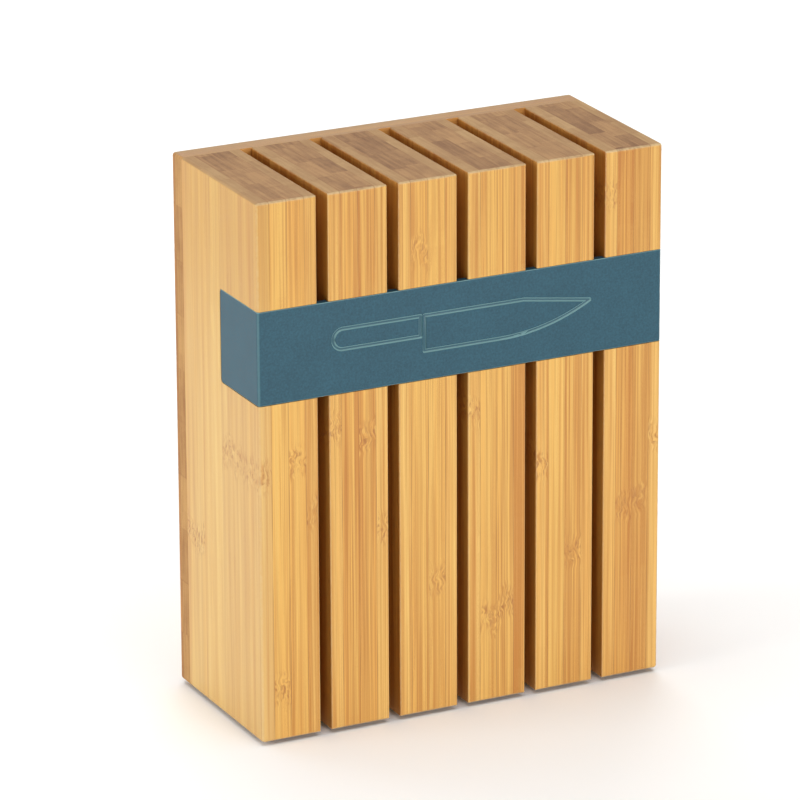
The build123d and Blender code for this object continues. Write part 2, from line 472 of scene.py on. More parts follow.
        # No two culms are the same hue: some plies, and some streaks in a ply, are redder.
        hue = add("ShaderNodeTexWhiteNoise", {"W": self.place["seed"]}, noise_dimensions="1D")
        drift_at = add(VECTOR_MATH, {0: spot, 1: (0.6, 0.27, 0.004)}, operation="MULTIPLY")
        drift = add(NOISE, {"Vector": drift_at, "Scale": 1.0, "Detail": 1.0})
        drift = add(MAP_RANGE,
                    {"Value": drift, "From Min": 0.35, "From Max": 0.65, "To Min": -0.4, "To Max": 0.6})
        hue = add(MATH, {0: hue, 1: 0.8, 2: drift}, operation="MULTIPLY_ADD", use_clamp=True)
        colour = add(MIX, {"Factor": hue, 6: colour, 7: "FBEEDC"}, data_type="RGBA", blend_type="MULTIPLY")

        # The broad sides of a ply, cut level with the culm's skin, differ in tone from its edges.
        for axis, tint in zip(self.grain.value, (self.broad, self.edge)):
            facing = add(VECTOR_MATH, {0: self.place["normal"], 1: AXIS_VECTOR[axis]},
                         operation="DOT_PRODUCT")
            facing = add(MATH, {0: facing}, operation="ABSOLUTE")
            facing = add(MAP_RANGE, {"Value": facing, "From Min": 0.6, "From Max": 0.95},
                         interpolation_type="SMOOTHSTEP")
            colour = add(MIX, {"Factor": facing, 6: colour, 7: tint},
                         data_type="RGBA", blend_type="MULTIPLY")

        # Painted shade: darker and more saturated towards the top, standing in for the light falling off up
        # the block.
        high = add(MAP_RANGE,
                   {"Value": self.place["fibre"], "From Min": 120.0, "From Max": 210.0,
                    "To Max": self.painted_top_shade}, interpolation_type="SMOOTHSTEP")
        colour = add(MIX, {"Factor": high, 6: colour, 7: "F2E6C2"}, data_type="RGBA", blend_type="MULTIPLY")

        # Dark fibre bundles, 0.4 mm wide, thicker set towards the culm's skin, one face of the ply.
        depths = add(SEPARATE, {0: add(ATTRIBUTE, attribute_name="depths_mm").outputs["Vector"]})
        total = add(MATH, {0: depths, 1: depths.outputs[1]}, operation="ADD")
        across = add(MATH, {0: depths, 1: total}, operation="DIVIDE")
        turn = add(MATH, {0: self.place["seed"], 1: 1.37}, operation="MULTIPLY")
        turn = add(MATH, {0: turn}, operation="FRACT")
        turn = add(MATH, {0: turn, 1: 0.5}, operation="GREATER_THAN")
        across = add(MATH, {0: across, 1: turn}, operation="SUBTRACT")
        across = add(MATH, {0: across}, operation="ABSOLUTE")
        floor = add(MAP_RANGE, {"Value": across, "To Min": 0.7, "To Max": 0.55})
        lines_at = add(VECTOR_MATH, {0: spot, 1: (1.5, 0.6, 0.007)}, operation="MULTIPLY")
        lines = add(NOISE, {"Vector": lines_at, "Scale": 1.0, "Detail": 1.0})
        lines = add(MATH, {0: lines, 1: floor}, operation="SUBTRACT")
        ring = add(MAP_RANGE, {"Value": lines, "From Min": 0.0, "From Max": 0.1, "To Max": self.line_depth},
                   interpolation_type="SMOOTHSTEP")
        colour = add(MIX, {"Factor": ring, 6: colour, 7: self.line}, data_type="RGBA")

        # Knuckle: short wavy brown dashes, four times as long as they are wide.
        arcs_at = add(VECTOR_MATH, {0: spot, 1: (1.1, 0.8, 0.24)}, operation="MULTIPLY")
        arcs = add(NOISE, {"Vector": arcs_at, "Scale": 1.0, "Detail": 2.0, "Distortion": 0.35})
        arcs = add(MAP_RANGE, {"Value": arcs, "From Min": 0.5, "From Max": 0.66, "To Max": 0.85})
        arcs = add(MATH, {0: arcs, 1: knuckle}, operation="MULTIPLY")
        colour = add(MIX, {"Factor": arcs, 6: colour, 7: self.knuckle}, data_type="RGBA")
        relief = add(MATH, {0: ring, 1: arcs}, operation="ADD")
        relief = add(MATH, {0: relief, 1: -0.6, 2: noises[-1]}, operation="MULTIPLY_ADD")
        return colour, relief

    def _end_mask(self) -> Socket:
        """Tells faces that cut across the fibres from those that run with them.

        Returns:
            A mask, 1 on a sawn end.
        """
        add = self.add
        normal = add("ShaderNodeTexCoord").outputs["Normal"]
        along = add(VECTOR_MATH, {0: normal, 1: AXIS_VECTOR[self.grain.value[2]]}, operation="DOT_PRODUCT")
        along = add(MATH, {0: along}, operation="ABSOLUTE")
        return add(MAP_RANGE, {"Value": along, "From Min": 0.3, "From Max": 0.75},
                   interpolation_type="SMOOTHSTEP")

    def _sawn_end(self) -> tuple[Socket, Socket]:
        """Colour and relief of a sawn end: speckled bundles, in faint layers along the strip.

        Returns:
            A colour and a height between 0 and 1.
        """
        add = self.add
        spot = self._spot("through", "strip", "seed")
        own = add(VECTOR_MATH, {0: self.strip["shift"], "Scale": 90.0}, operation="SCALE")
        spot = add(VECTOR_MATH, {0: spot, 1: own}, operation="ADD")
        layers_at = add(VECTOR_MATH, {0: spot, 1: (0.75, 0.05, 1.0)}, operation="MULTIPLY")
        layers = add(NOISE, {"Vector": layers_at, "Scale": 1.0, "Detail": 1.5})
        cloud = add(NOISE, {"Vector": spot, "Scale": 0.14, "Detail": 3.0})
        speck = add(NOISE, {"Vector": spot, "Scale": 1.6, "Detail": 2.0})
        mixed = add(MATH, {0: layers, 1: 1.4, 2: -0.95}, operation="MULTIPLY_ADD")
        mixed = add(MATH, {0: cloud, 1: 0.9, 2: mixed}, operation="MULTIPLY_ADD")
        mixed = add(MATH, {0: speck, 1: 0.5, 2: mixed}, operation="MULTIPLY_ADD")
        tone = add(MAP_RANGE, {"Value": self.strip["tone"], "To Min": -0.3, "To Max": 0.3})
        mixed = add(MATH, {0: mixed, 1: tone}, operation="ADD")
        colour = add(MIX, {"Factor": mixed, 6: self.end_pale, 7: self.end_deep}, data_type="RGBA")
        return colour, speck

    def _rim_wear_and_highlight(self, colour: Socket) -> Socket:
        """Pale broken fibres on the front rims, where the rounding cuts them aslant, together with a painted
        highlight where the rounding catches the light.

        Args:
            colour: The colour so far.

        Returns:
            The new colour.
        """
        add = self.add
        parts = add(SEPARATE, {0: self.place["normal"]})
        lift = add(MATH, {0: parts.outputs["Z"]}, operation="ABSOLUTE")
        level = add(MAP_RANGE, {"Value": lift, "To Min": 0.6, "To Max": 1.6})
        slant = add(MAP_RANGE, {"Value": parts.outputs["Y"], "From Min": -0.98, "From Max": -0.85})
        front = add(MAP_RANGE, {"Value": parts.outputs["Y"], "From Min": -0.15, "From Max": -0.4})
        slant = add(MATH, {0: slant, 1: level}, operation="MULTIPLY", use_clamp=True)
        torn_at = self._spot("through", "strip", "fibre")
        torn = add(NOISE, {"Vector": torn_at, "Scale": 0.9, "Detail": 3.0})
        torn = add(MAP_RANGE,
                   {"Value": torn, "From Min": 0.35, "From Max": 0.65, "To Min": 0.3, "To Max": 0.6})
        # Mask of the front rims that tilt up or down: worn fibres and a painted highlight in one.
        mask = add(MATH, {0: slant, 1: front}, operation="MULTIPLY")
        mask = add(MATH, {0: mask, 1: torn}, operation="MULTIPLY")
        return add(MIX, {"Factor": mask, 6: colour, 7: self.rim_wear_and_highlight}, data_type="RGBA")

    def _glue_lines(self, ends: Socket, colour: Socket) -> Socket:
        """Hairlines where plies and strips are glued together.

        Args:
            ends: The mask of sawn ends, the only faces that show the strips' own joints.
            colour: The colour so far.

        Returns:
            The new colour.
        """
        add = self.add
        depths = add(ATTRIBUTE, attribute_name="depths_mm").outputs["Vector"]
        glued = add(ATTRIBUTE, attribute_name="glued").outputs["Vector"]
        close = add(VECTOR_MATH, {0: depths, 1: (-1 / self.glue_mm,) * 3, 2: (1.0, 1.0, 1.0)},
                    operation="MULTIPLY_ADD")
        close = add(VECTOR_MATH, {0: close, 1: glued}, operation="MULTIPLY")
        close = add(SEPARATE, {0: close})
        ply = add(MATH, {0: close, 1: close.outputs[1]}, operation="MAXIMUM", use_clamp=True)
        joint = add(MAP_RANGE,
                    {"Value": self.strip["edge_mm"], "From Min": self.glue_mm, "From Max": 0.0,
                     "To Min": 0.0, "To Max": 0.8})
        joint = add(MATH, {0: joint, 1: ends}, operation="MULTIPLY")
        line = add(MATH, {0: ply, 1: joint}, operation="MAXIMUM")
        broken_at = self._spot("seed", "strip", "fibre")
        broken = add(NOISE, {"Vector": broken_at, "Scale": 0.035, "Detail": 3.0})
        broken = add(MAP_RANGE,
                     {"Value": broken, "From Min": 0.38, "From Max": 0.66, "To Min": 0.1, "To Max": 0.75})
        line = add(MATH, {0: line, 1: broken}, operation="MULTIPLY")
        return add(MIX, {"Factor": line, 6: colour, 7: self.glue}, data_type="RGBA")


@dataclass(frozen=True)
class MouldedFinish:
    """Injection-moulded plastic or rubber with a fine spark-eroded skin, satin to matt."""

    name: str
    colour: str
    cloud: str
    roughness: float
    grit_mm: float
    relief_mm: float
    painted_highlight: str | None = None
    groove_reach_mm: float = 0.0
    groove_highlight: float = 0.12

    def build(self) -> Material:
        """Makes the material.

        Returns:
            A material that reads Object coordinates.
        """
        material, tree = new_material(self.name)
        add = partial(add_node, tree)
        source = add("ShaderNodeTexCoord").outputs["Object"]
        spot = add(VECTOR_MATH, {0: source, "Scale": 1 / MM}, operation="SCALE")
        cloud = add(NOISE, {"Vector": spot, "Scale": 0.09, "Detail": 3.0})
        grit = add(NOISE, {"Vector": spot, "Scale": 1 / self.grit_mm, "Detail": 2.0})
        blend = add(MATH, {0: cloud, 1: 0.6, 2: -0.8}, operation="MULTIPLY_ADD")
        blend = add(MATH, {0: grit, 1: 2.0, 2: blend}, operation="MULTIPLY_ADD")
        colour = add(MIX, {"Factor": blend, 6: self.colour, 7: self.cloud}, data_type="RGBA")
        if self.painted_highlight is not None:
            colour = self._painted_highlights(tree, spot, colour)
        roughness = add(MAP_RANGE,
                        {"Value": grit, "From Min": 0.3, "From Max": 0.7, "To Min": self.roughness - 0.05,
                         "To Max": self.roughness + 0.07})
        bump = add("ShaderNodeBump", {"Height": grit, "Strength": 0.4, "Distance": self.relief_mm * MM})
        shader = add("ShaderNodeBsdfPrincipled",
                     {"Base Color": colour, "Roughness": roughness, "Normal": bump,
                      "Specular IOR Level": 0.42, "IOR": 1.49})
        add("ShaderNodeOutputMaterial", {"Surface": shader})
        return material

    def _painted_highlights(self, tree: NodeTree, spot: Socket, colour: Socket) -> Socket:
        """Painted highlights on the rounded edges, most on those facing up, and on the pressed grooves'
        floors.

        Args:
            tree: The material's tree.
            spot: Object coordinates in millimetres.
            colour: The colour so far.

        Returns:
            The new colour.
        """
        add = partial(add_node, tree)
        normal = add("ShaderNodeTexCoord").outputs["Normal"]
        facing = add(SEPARATE, {0: normal}).outputs["Y"]
        normal = add(VECTOR_MATH, {0: normal}, operation="ABSOLUTE")
        parts = add(SEPARATE, {0: normal}).outputs
        flat = add(MATH, {0: parts[0], 1: parts[1]}, operation="MAXIMUM")
        flat = add(MATH, {0: flat, 1: parts[2]}, operation="MAXIMUM")
        # Painted highlight on the rounded edges, stronger where they face up, as if lit from above.
        edge = add(MAP_RANGE, {"Value": flat, "From Min": 0.985, "From Max": 0.85},
                   interpolation_type="SMOOTHSTEP")
        level = add(MAP_RANGE, {"Value": parts[2], "From Max": 0.3, "To Min": 0.3, "To Max": 0.9})
        edge = add(MATH, {0: edge, 1: level}, operation="MULTIPLY")

        # A groove's floor looks forward too, but lies behind the front and away from the corners.
        depth = add(SEPARATE, {0: add(ATTRIBUTE, attribute_name="depths_mm").outputs["Vector"]})
        sunk = add(MAP_RANGE, {"Value": depth, "From Min": 0.08, "From Max": 0.3})
        facing = add(MATH, {0: facing, 1: -0.3}, operation="LESS_THAN")
        across = add(SEPARATE, {0: spot}).outputs["X"]
        across = add(MATH, {0: across}, operation="ABSOLUTE")
        inside = add(MATH, {0: across, 1: self.groove_reach_mm}, operation="LESS_THAN")
        # Painted highlight on the groove floors.
        groove = sunk
        for share in (facing, inside, self.groove_highlight):
            groove = add(MATH, {0: groove, 1: share}, operation="MULTIPLY")
        pale = add(MATH, {0: edge, 1: groove}, operation="MAXIMUM")
        return add(MIX, {"Factor": pale, 6: colour, 7: self.painted_highlight}, data_type="RGBA")


@dataclass(frozen=True)
class PlatedSteelFinish:
    """Zinc-plated steel: a bright grey metal, lightly blurred, with faint clouding."""

    name: str
    colour: str
    cloud: str

    def build(self) -> Material:
        """Makes the material.

        Returns:
            A material that reads Object coordinates.
        """
        material, tree = new_material(self.name)
        add = partial(add_node, tree)
        source = add("ShaderNodeTexCoord").outputs["Object"]
        spot = add(VECTOR_MATH, {0: source, "Scale": 1 / MM}, operation="SCALE")
        cloud = add(NOISE, {"Vector": spot, "Scale": 0.8, "Detail": 3.0})
        colour = add(MIX, {"Factor": cloud, 6: self.colour, 7: self.cloud}, data_type="RGBA")
        roughness = add(MAP_RANGE, {"Value": cloud, "To Min": 0.22, "To Max": 0.5})
        shader = add("ShaderNodeBsdfPrincipled",
                     {"Base Color": colour, "Roughness": roughness, "Metallic": 1.0})
        add("ShaderNodeOutputMaterial", {"Surface": shader})
        return material


# === Pieces that take their shape from the frame ===


class Glue(Enum):
    """Which of a ply's two faces are glued to a neighbour, low side first."""

    LOW = (1.0, 0.0)
    HIGH = (0.0, 1.0)
    BOTH = (1.0, 1.0)


@dataclass
class PieceSkin:
    """Geometry Nodes tree that cleans a mesh of the loaded frame and writes its grain data on it."""

    frame: dict
    weld: float = 0.002 * MM
    crease: float = math.radians(38)
    tree: NodeTree = field(init=False)

    def __post_init__(self) -> None:
        """Builds the tree."""
        tree = new_tree("piece_skin", {
            "Weld": ("NodeSocketFloat", self.weld),
            "Crease": ("NodeSocketFloat", self.crease),
            "Seed": ("NodeSocketFloat", 0.0),
            "Stagger": ("NodeSocketFloat", 0.0),
            "Knuckles": ("NodeSocketVector", (-99.0, -99.0, -99.0)),
            "Glued low": ("NodeSocketFloat", 0.0),
            "Glued high": ("NodeSocketFloat", 0.0),
            "Through": ("NodeSocketVector", (1.0, 0.0, 0.0)),
            "Finish": ("NodeSocketMaterial", None),
        })
        add = partial(add_node, tree)
        given = add("NodeGroupInput").outputs
        welded = add("GeometryNodeMergeByDistance",
                     {"Geometry": given["Geometry"], "Distance": given["Weld"]})
        box = add("GeometryNodeBoundBox", {0: welded})
        position = add("GeometryNodeInputPosition")
        along = [add(VECTOR_MATH, {0: corner, 1: given["Through"]}, operation="DOT_PRODUCT")
                 for corner in (position, box.outputs["Min"], box.outputs["Max"])]
        # Distances in millimetres to the ply's two faces. Each runs evenly over a face of the mesh.
        gaps = []
        for end, sign in ((along[1], 1 / MM), (along[2], -1 / MM)):
            gap = add(MATH, {0: along[0], 1: end}, operation="SUBTRACT")
            gaps.append(add(MATH, {0: gap, 1: sign}, operation="MULTIPLY"))
        depths = add(COMBINE, dict(enumerate(gaps)))
        glued = add(COMBINE, {0: given["Glued low"], 1: given["Glued high"]})
        shape = welded
        for name, kind, value in (("seed", "FLOAT", given["Seed"]), ("stagger", "FLOAT", given["Stagger"]),
                                  ("depths_mm", "FLOAT_VECTOR", depths), ("glued", "FLOAT_VECTOR", glued),
                                  ("knuckles", "FLOAT_VECTOR", given["Knuckles"])):
            shape = add("GeometryNodeStoreNamedAttribute", {"Geometry": shape, "Name": name, "Value": value},
                        data_type=kind, domain="POINT")
        end_tree(tree, shape, given)
        self.tree = tree

    def dress(
        self, node: str, suffix: str, finish: Material,
        values: dict[str, object] | None = None,
    ) -> Object:
        """Makes the shown piece that stands for one node of the frame.

        Args:
            node: The node whose shape it takes.
            suffix: What is added to the node's name for the piece's.
            finish: The piece's material.
            values: Inputs of the tree that differ from their defaults.

        Returns:
            The finished piece, riding on the block.
        """
        helper = link_object(node + "_helper", self.frame["nodes"][node].data.copy())
        mesh = run_tree(helper, self.tree, {"Finish": finish, **(values or {})})
        drop_object(helper)
        piece = link_object(f"{node}_{suffix}", mesh)
        even_normals(piece)
        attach(piece, BODY)
        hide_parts(node)
        log.info("%s: %d faces", piece.name, len(piece.data.polygons))
        return piece


def even_normals(piece: Object) -> None:
    """Weights a piece's shading by face area, so that flat faces stay flat beside roundings.

    Args:
        piece: The piece, which gets a new mesh.
    """
    modifier = piece.modifiers.new("even normals", "WEIGHTED_NORMAL")
    modifier.keep_sharp = True
    modifier.weight = 100
    depsgraph = bpy.context.evaluated_depsgraph_get()
    old = piece.data
    piece.data = bpy.data.meshes.new_from_object(piece.evaluated_get(depsgraph), depsgraph=depsgraph)
    piece.modifiers.clear()
    piece.data.name = piece.name
    bpy.data.meshes.remove(old)


@dataclass
class LaminatedBars:
    """The six bars, each of two face plies and two core plies."""

    count: int = 6
    core_strip_mm: float = 20.0
    face_strip_mm: float = 16.8
    # Heights in millimetres of the knuckles that stand out, by ply and bar, front strip first. One
    # at -99 lies off the ply.
    knuckles: dict[str, dict[int, tuple[float, float, float]]] = field(default_factory=lambda: {
        "left_face_ply": {1: (109.0, -99.0, 120.0), 2: (123.0, 55.0, 190.0), 4: (122.0, 40.0, 90.0),
                          5: (97.0, 150.0, 35.0), 6: (198.0, 60.0, 120.0)},
        "left_core_ply": {1: (22.0, 150.0, 60.0), 3: (186.0, 90.0, 130.0), 4: (36.0, 120.0, 70.0),
                          6: (71.0, 130.0, 180.0)},
        "right_core_ply": {1: (114.0, 40.0, 170.0), 2: (118.0, 30.0, 80.0), 3: (56.0, 140.0, 20.0),
                           4: (38.0, 100.0, 150.0), 5: (57.0, 160.0, 90.0), 6: (75.0, 150.0, 30.0)},
        "right_face_ply": {1: (93.0, 60.0, 160.0), 2: (81.0, 150.0, 20.0), 6: (101.0, 60.0, 170.0)},
    })

    def build(self, skin: PieceSkin) -> None:
        """Dresses every ply.

        Args:
            skin: The tree that dresses pieces.
        """
        front_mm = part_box("bar_1_left_face_ply")[0].y / MM - 0.5
        # Each ply is darkened towards its top as painted shade, the outer ply the most.
        face = BambooFinish("face_ply_bamboo", Grain.UPRIGHT, pale="E0B563", deep="BC8234", line="B27628",
                            end_pale="B28E5E", end_deep="966E44", strip_mm=self.face_strip_mm,
                            strip_start_mm=front_mm, tone_spread=0.25, line_depth=0.5, painted_top_shade=0.35)
        outer = replace(face, name="outer_ply_bamboo", pale="DDBB72", deep="C59555", line="BE863C",
                        broad="FFFFFF", tone_spread=0.2, contrast=0.75, line_depth=0.3, painted_top_shade=1.0).build()
        face = face.build()
        core = BambooFinish("core_ply_bamboo", Grain.UPRIGHT, pale="DEB05A", deep="B87D32", line="B07024",
                            end_pale="AA8153", end_deep="7C5532", strip_mm=self.core_strip_mm,
                            strip_start_mm=front_mm, tone_spread=0.35, painted_top_shade=0.35).build()
        plies = (("left_face_ply", "bamboo_face_ply", face, Glue.HIGH),
                 ("left_core_ply", "bamboo_core_ply", core, Glue.BOTH),
                 ("right_core_ply", "bamboo_core_ply", core, Glue.BOTH),
                 ("right_face_ply", "bamboo_face_ply", face, Glue.LOW))
        # The steps in the seed and the stagger only keep neighbouring plies unlike each other.
        for bar in range(1, self.count + 1):
            for number, (ply, slot, finish, glue) in enumerate(plies):
                if (bar, ply) == (1, "left_face_ply"):
                    finish = outer
                skin.dress(f"bar_{bar}_{ply}", "bamboo", finish, {
                    "Seed": bar * 7.31 + number * 1.73,
                    "Stagger": (bar * 5.3 + number * 11.9) % 9.0 - 4.5 if "core" in ply else 0.0,
                    "Knuckles": self.knuckles[ply].get(bar, (-99.0, 60.0 + 17 * bar, 190.0 - 21 * number)),
                    "Glued low": glue.value[0],
                    "Glued high": glue.value[1],
                })


@dataclass
class BackBoard:
    """Lying staves with a thin ply behind them."""

    stave_count: int = 10

    def build(self, skin: PieceSkin) -> None:
        """Dresses the staves and the rear ply.

        Args:
            skin: The tree that dresses pieces.
        """
        low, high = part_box("back_stave_02")
        stave_mm = (high.z - low.z) / MM
        start_mm = low.z / MM - stave_mm
        stave = BambooFinish("back_stave_bamboo", Grain.LYING, pale="DCA052", deep="BC8036", line="9A6228",
                             end_pale="BE9155", end_deep="9A6A38", strip_mm=stave_mm,
                             strip_start_mm=start_mm, reach_mm=(-88.0, 88.0), broad="FFFFFF", edge="C6C78E",
                             tone_spread=0.35)
        rear = replace(stave, name="rear_ply_bamboo", pale="DCA95E", deep="BE8A42", line="A06C30",
                       end_pale="B5834A", end_deep="946436", tone_spread=0.3, contrast=0.8).build()
        stave = stave.build()
        sides = {"Through": (0.0, 1.0, 0.0), "Glued high": 1.0}
        for number in range(1, self.stave_count + 1):
            skin.dress(f"back_stave_{number:02d}", "bamboo", stave,
                       {**sides, "Seed": number * 3.17, "Knuckles": (-20.0 + 9 * number, 30.0, -60.0)})
        skin.dress("back_rear_ply", "bamboo", rear,
                   {"Through": (0.0, 1.0, 0.0), "Glued low": 1.0, "Seed": 5.9,
                    "Knuckles": (-40.0, 35.0, 62.0)})


@dataclass
class FrontBand:
    """The moulded band with its pressed knife outline."""

    def build(self, skin: PieceSkin) -> None:
        """Dresses the band.

        Args:
            skin: The tree that dresses pieces.
        """
        # The band's rounded edges and groove floors get a painted highlight in a paler teal.
        finish = MouldedFinish("band_satin_plastic", colour="114151", cloud="215263", roughness=0.45,
                               grit_mm=0.7, relief_mm=0.04, painted_highlight="769C9E", groove_reach_mm=70.0).build()
        skin.dress("front_band", "moulded", finish, {"Through": (0.0, 1.0, 0.0)})


# === Pieces laid out by Geometry Nodes ===


@dataclass
class ScrewSet:
    """Countersunk screws on a grid in the back board, each turned a little differently."""

    columns: int = 6
    rows: int = 2
    length: float = 30.0 * MM
    head_radius: float = 3.9 * MM
    head_height: float = 2.6 * MM
    core_radius: float = 1.35 * MM
    thread_radius: float = 2.0 * MM
    plain_length: float = 10.0 * MM
    point_length: float = 3.0 * MM
    pitch: float = 1.8 * MM
    recess_arm: float = 1.8 * MM
    recess_width: float = 1.0 * MM
    recess_depth: float = 1.5 * MM
    segments: int = 36

    def screw_mesh(self) -> Mesh:
        """Turns one screw along Z.

        Returns:
            The mesh, its head's top at the origin.
        """
        edge = 0.12 * MM
        profile = [(0.0, 0.0), (self.head_radius - edge, 0.0), (self.head_radius, -edge),
                   (self.core_radius, -self.head_height), (self.core_radius, -self.plain_length)]
        threaded = self.length - self.plain_length - self.point_length
        for turn in range(int(threaded / self.pitch)):
            top = -self.plain_length - turn * self.pitch
            profile.append((self.thread_radius, top - 0.45 * self.pitch))
            profile.append((self.core_radius, top - 0.9 * self.pitch))
        profile += [(self.core_radius, -self.length + self.point_length), (0.0, -self.length)]
        return lathe("screw", profile, self.segments)

    def recess_mesh(self) -> Mesh:
        """Shapes the tapering cross that is cut out of the head.

        Returns:
            The mesh, its middle at the head's top.
        """
        shape = bmesh.new()
        arm, half = self.recess_arm, self.recess_width / 2
        outline = [(arm, -half), (arm, half), (half, half), (half, arm), (-half, arm), (-half, half),
                   (-arm, half), (-arm, -half), (-half, -half), (-half, -arm), (half, -arm), (half, -half)]
        rings = []
        for height, share in ((self.recess_depth, 1.0), (0.0, 1.0), (-self.recess_depth, 0.55)):
            rings.append([shape.verts.new((x * share, y * share, height)) for x, y in outline])
        count = len(outline)
        for upper, lower in zip(rings, rings[1:]):
            for step in range(count):
                after = (step + 1) % count
                shape.faces.new([upper[step], lower[step], lower[after], upper[after]])
        shape.faces.new(rings[0])
        shape.faces.new(rings[-1])
        bmesh.ops.recalc_face_normals(shape, faces=shape.faces)
        return plain_mesh("recess", shape)

    def template(self) -> Object:
        """Makes one whole screw with its recess cut.

        Returns:
            The helper object that the tree repeats.
        """
        screw = link_object("screw_template", self.screw_mesh())
        recess = link_object("recess_template", self.recess_mesh())
        modifier = screw.modifiers.new("recess", "BOOLEAN")
        modifier.object = recess
        modifier.solver = "EXACT"
        depsgraph = bpy.context.evaluated_depsgraph_get()
        mesh = bpy.data.meshes.new_from_object(screw.evaluated_get(depsgraph), depsgraph=depsgraph)
        drop_object(recess)
        drop_object(screw)
        return link_object("screw_template", mesh)

    def tree(self) -> NodeTree:
        """Builds the tree that lays the screws out.

        Returns:
            The tree.
        """
        tree = new_tree("screw_grid", {
            "Screw": ("NodeSocketObject", None),
            "Columns": ("NodeSocketInt", self.columns),
            "Rows": ("NodeSocketInt", self.rows),
            "Width": ("NodeSocketFloat", 0.1),
            "Height": ("NodeSocketFloat", 0.1),
            "Centre": ("NodeSocketVector", (0.0, 0.0, 0.0)),
            "Seed": ("NodeSocketInt", 11),
            "Crease": ("NodeSocketFloat", math.radians(40)),
            "Finish": ("NodeSocketMaterial", None),
        })
        add = partial(add_node, tree)
        given = add("NodeGroupInput").outputs
        grid = add("GeometryNodeMeshGrid",
                   {"Size X": given["Width"], "Size Y": given["Height"], "Vertices X": given["Columns"],
                    "Vertices Y": given["Rows"]})
        upright = add("GeometryNodeTransform",
                      {"Geometry": grid, "Translation": given["Centre"],
                       "Rotation": (math.pi / 2, 0.0, 0.0)})
        part = add("GeometryNodeObjectInfo", {"Object": given["Screw"]}).outputs["Geometry"]
        turn = add("FunctionNodeRandomValue", {"Min": 0.0, "Max": math.pi / 2, "Seed": given["Seed"]},
                   data_type="FLOAT")
        turn = add(COMBINE, {0: -math.pi / 2, 2: 0.0, 1: turn.outputs["Value"]})
        placed = add("GeometryNodeInstanceOnPoints", {"Points": upright, "Instance": part, "Rotation": turn})
        end_tree(tree, placed, given)
        return tree

    def build(self) -> None:
        """Makes every screw as one piece."""
        low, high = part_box("back_screws")
        finish = PlatedSteelFinish("zinc_plated_steel", colour="C9CACB", cloud="A9ABAD").build()
        screw = self.template()
        anchor = link_object("screw_anchor", bpy.data.meshes.new("screw_anchor"))
        mesh = run_tree(anchor, self.tree(), {
            "Screw": screw,
            "Width": high.x - low.x - 2 * self.head_radius,
            "Height": high.z - low.z - 2 * self.head_radius,
            "Centre": ((low.x + high.x) / 2, high.y, (low.z + high.z) / 2),
            "Finish": finish,
        })
        drop_object(anchor)
        drop_object(screw)
        piece = link_object("back_screws_set", mesh)
        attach(piece, BODY)
        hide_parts("back_screws")
        log.info("%s: %d faces", piece.name, len(piece.data.polygons))


@dataclass
class Feet:
    """Four soft discs with a rounded tread, seated in the base."""

    nodes: tuple[str, ...] = ("foot_front_left", "foot_front_right", "foot_back_left", "foot_back_right")
    rim_radius: float = 0.6 * MM
    dish_radius: float = 3.6 * MM
    dish_depth: float = 0.25 * MM
    segments: int = 64

    def foot_mesh(self, radius: float, height: float) -> Mesh:
        """Turns one foot, its underside at the origin.

        Args:
            radius: The foot's radius.
            height: The foot's height.

        Returns:
            The mesh.
        """
        profile = [(0.0, height), (radius, height), (radius, self.rim_radius)]
        steps = 6
        for step in range(1, steps + 1):
            angle = math.pi / 2 * step / steps
            profile.append((radius - self.rim_radius * (1 - math.cos(angle)),
                            self.rim_radius * (1 - math.sin(angle))))
        profile += [(self.dish_radius, 0.0), (self.dish_radius - self.dish_depth, self.dish_depth),
                    (0.0, self.dish_depth)]
        return lathe("foot", profile, self.segments)

    def tree(self) -> NodeTree:
        """Builds the tree that puts a foot on every point.

        Returns:
            The tree.
        """
        tree = new_tree("feet_on_points", {
            "Foot": ("NodeSocketObject", None),
            "Crease": ("NodeSocketFloat", math.radians(35)),
            "Finish": ("NodeSocketMaterial", None),
        })
        add = partial(add_node, tree)
        given = add("NodeGroupInput").outputs
        part = add("GeometryNodeObjectInfo", {"Object": given["Foot"]}).outputs["Geometry"]
        placed = add("GeometryNodeInstanceOnPoints", {"Points": given["Geometry"], "Instance": part})
        end_tree(tree, placed, given)
        return tree

    def build(self) -> None:
        """Makes the four feet as one piece."""
        boxes = [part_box(node) for node in self.nodes]
        low, high = boxes[0]
        finish = MouldedFinish("foot_rubber", colour="2C2D2E", cloud="3D3E40", roughness=0.75,
                               grit_mm=0.5, relief_mm=0.04).build()
        foot = link_object("foot_template", self.foot_mesh((high.x - low.x) / 2, high.z - low.z))
        spots = bpy.data.meshes.new("foot_spots")
        spots.from_pydata([((a.x + b.x) / 2, (a.y + b.y) / 2, a.z) for a, b in boxes], [], [])
        anchor = link_object("foot_anchor", spots)
        mesh = run_tree(anchor, self.tree(), {"Foot": foot, "Finish": finish})
        drop_object(anchor)
        drop_object(foot)
        piece = link_object("feet_set", mesh)
        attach(piece, BODY)
        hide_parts(*self.nodes)
        log.info("%s: %d faces", piece.name, len(piece.data.polygons))


# === Studio ===


@dataclass(frozen=True)
class SoftBox:
    """A square area light, placed and aimed from the point it lights."""

    name: str
    azimuth: float
    elevation: float
    distance: float
    size: float
    power: float
    target: tuple[float, float, float] = (0.0, 0.0, 0.1)

    def build(self) -> None:
        """Hangs the light."""
        away = Vector((math.sin(self.azimuth) * math.cos(self.elevation),
                       -math.cos(self.azimuth) * math.cos(self.elevation), math.sin(self.elevation)))
        data = bpy.data.lights.new(self.name, "AREA")
        data.energy = self.power
        data.size = self.size
        lamp = bpy.data.objects.new(self.name, data)
        lamp.location = Vector(self.target) + away * self.distance
        lamp.rotation_euler = away.to_track_quat("Z", "Y").to_euler()
        bpy.context.scene.collection.objects.link(lamp)


